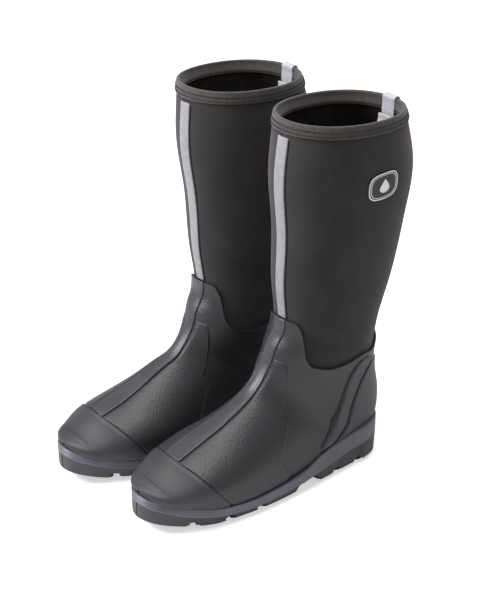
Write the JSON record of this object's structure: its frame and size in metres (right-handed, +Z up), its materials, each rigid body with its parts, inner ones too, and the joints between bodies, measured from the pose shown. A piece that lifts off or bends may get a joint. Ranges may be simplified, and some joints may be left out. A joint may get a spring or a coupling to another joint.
{
  "type": "pair of wellington boots",
  "caption": "Pair of tall neoprene and rubber wellington boots with cleated soles, seam tapes, bound tops and inside pull loops.",
  "frame": {"origin": "on the ground under the middle of the pair's bounding box", "axes": "+Z up the shafts; toes point to -Y; +X is the wearer's left, where the left boot stands"},
  "size_m": [0.2798, 0.354, 0.4216],
  "materials": {
    "tread_rubber": "satin",
    "midsole_rubber": "matte",
    "shank_steel": "satin",
    "foxing_rubber": "satin",
    "neoprene": "matte knit face",
    "stiffener_board": "matte",
    "galosh_rubber": "satin",
    "lining_knit": "matte",
    "seam_tape": "satin",
    "binding_tape": "matte",
    "thread": "matte",
    "webbing": "matte",
    "badge_print": "satin",
    "insole_board": "matte fibre board",
    "footbed_foam": "matte foam",
    "footbed_cover": "matte"
  },
  "bodies": {
    "left_boot": {"left_outsole": "tread_rubber", "left_midsole": "midsole_rubber", "left_shank": "shank_steel", "left_foxing": "foxing_rubber", "left_neoprene_sock": "neoprene", "left_toe_puff": "stiffener_board", "left_heel_stiffener": "stiffener_board", "left_rubber_shell": "galosh_rubber", "left_toe_cap": "galosh_rubber", "left_vamp_overlay": "galosh_rubber", "left_instep_strip": "galosh_rubber", "left_heel_strap_outer": "galosh_rubber", "left_heel_strap_inner": "galosh_rubber", "left_heel_counter": "galosh_rubber", "left_kick_spur": "tread_rubber", "left_shaft_panel_outer": "neoprene", "left_shaft_panel_inner": "neoprene", "left_shaft_lining": "lining_knit", "left_front_seam_tape": "seam_tape", "left_back_seam_tape": "seam_tape", "left_top_binding": "binding_tape", "left_binding_stitching": "thread", "left_pull_tab": "webbing", "left_badge": "badge_print", "left_insole_board": "insole_board"},
    "left_pull_loop": {"left_pull_loop": "webbing"},
    "left_footbed": {"left_footbed_foam": "footbed_foam", "left_footbed_cover": "footbed_cover"},
    "right_boot": {"right_outsole": "tread_rubber", "right_midsole": "midsole_rubber", "right_shank": "shank_steel", "right_foxing": "foxing_rubber", "right_neoprene_sock": "neoprene", "right_toe_puff": "stiffener_board", "right_heel_stiffener": "stiffener_board", "right_rubber_shell": "galosh_rubber", "right_toe_cap": "galosh_rubber", "right_vamp_overlay": "galosh_rubber", "right_instep_strip": "galosh_rubber", "right_heel_strap_outer": "galosh_rubber", "right_heel_strap_inner": "galosh_rubber", "right_heel_counter": "galosh_rubber", "right_kick_spur": "tread_rubber", "right_shaft_panel_outer": "neoprene", "right_shaft_panel_inner": "neoprene", "right_shaft_lining": "lining_knit", "right_front_seam_tape": "seam_tape", "right_back_seam_tape": "seam_tape", "right_top_binding": "binding_tape", "right_binding_stitching": "thread", "right_pull_tab": "webbing", "right_badge": "badge_print", "right_insole_board": "insole_board"},
    "right_pull_loop": {"right_pull_loop": "webbing"},
    "right_footbed": {"right_footbed_foam": "footbed_foam", "right_footbed_cover": "footbed_cover"}
  },
  "joints": [
    {"name": "left_loop_hinge", "type": "hinge", "parent": "left_boot", "child": "left_pull_loop", "pos_m": [0.078, 0.14937, 0.39761], "axis": [-1, 0, 0], "range_deg": [0, 140]},
    {"name": "left_footbed_lift", "type": "hinge", "parent": "left_boot", "child": "left_footbed", "pos_m": [0.066, -0.13643, 0.036], "axis": [1, 0, 0], "range_deg": [0, 8]},
    {"name": "right_loop_hinge", "type": "hinge", "parent": "right_boot", "child": "right_pull_loop", "pos_m": [-0.078, 0.13537, 0.39761], "axis": [-1, 0, 0], "range_deg": [0, 140]},
    {"name": "right_footbed_lift", "type": "hinge", "parent": "right_boot", "child": "right_footbed", "pos_m": [-0.066, -0.15043, 0.036], "axis": [1, 0, 0], "range_deg": [0, 8]},
    {"name": "right_boot_slide", "type": "slide", "parent": "left_boot", "child": "right_boot", "axis": [-1, 0, 0], "range_m": [0, 0.2]}
  ]
}
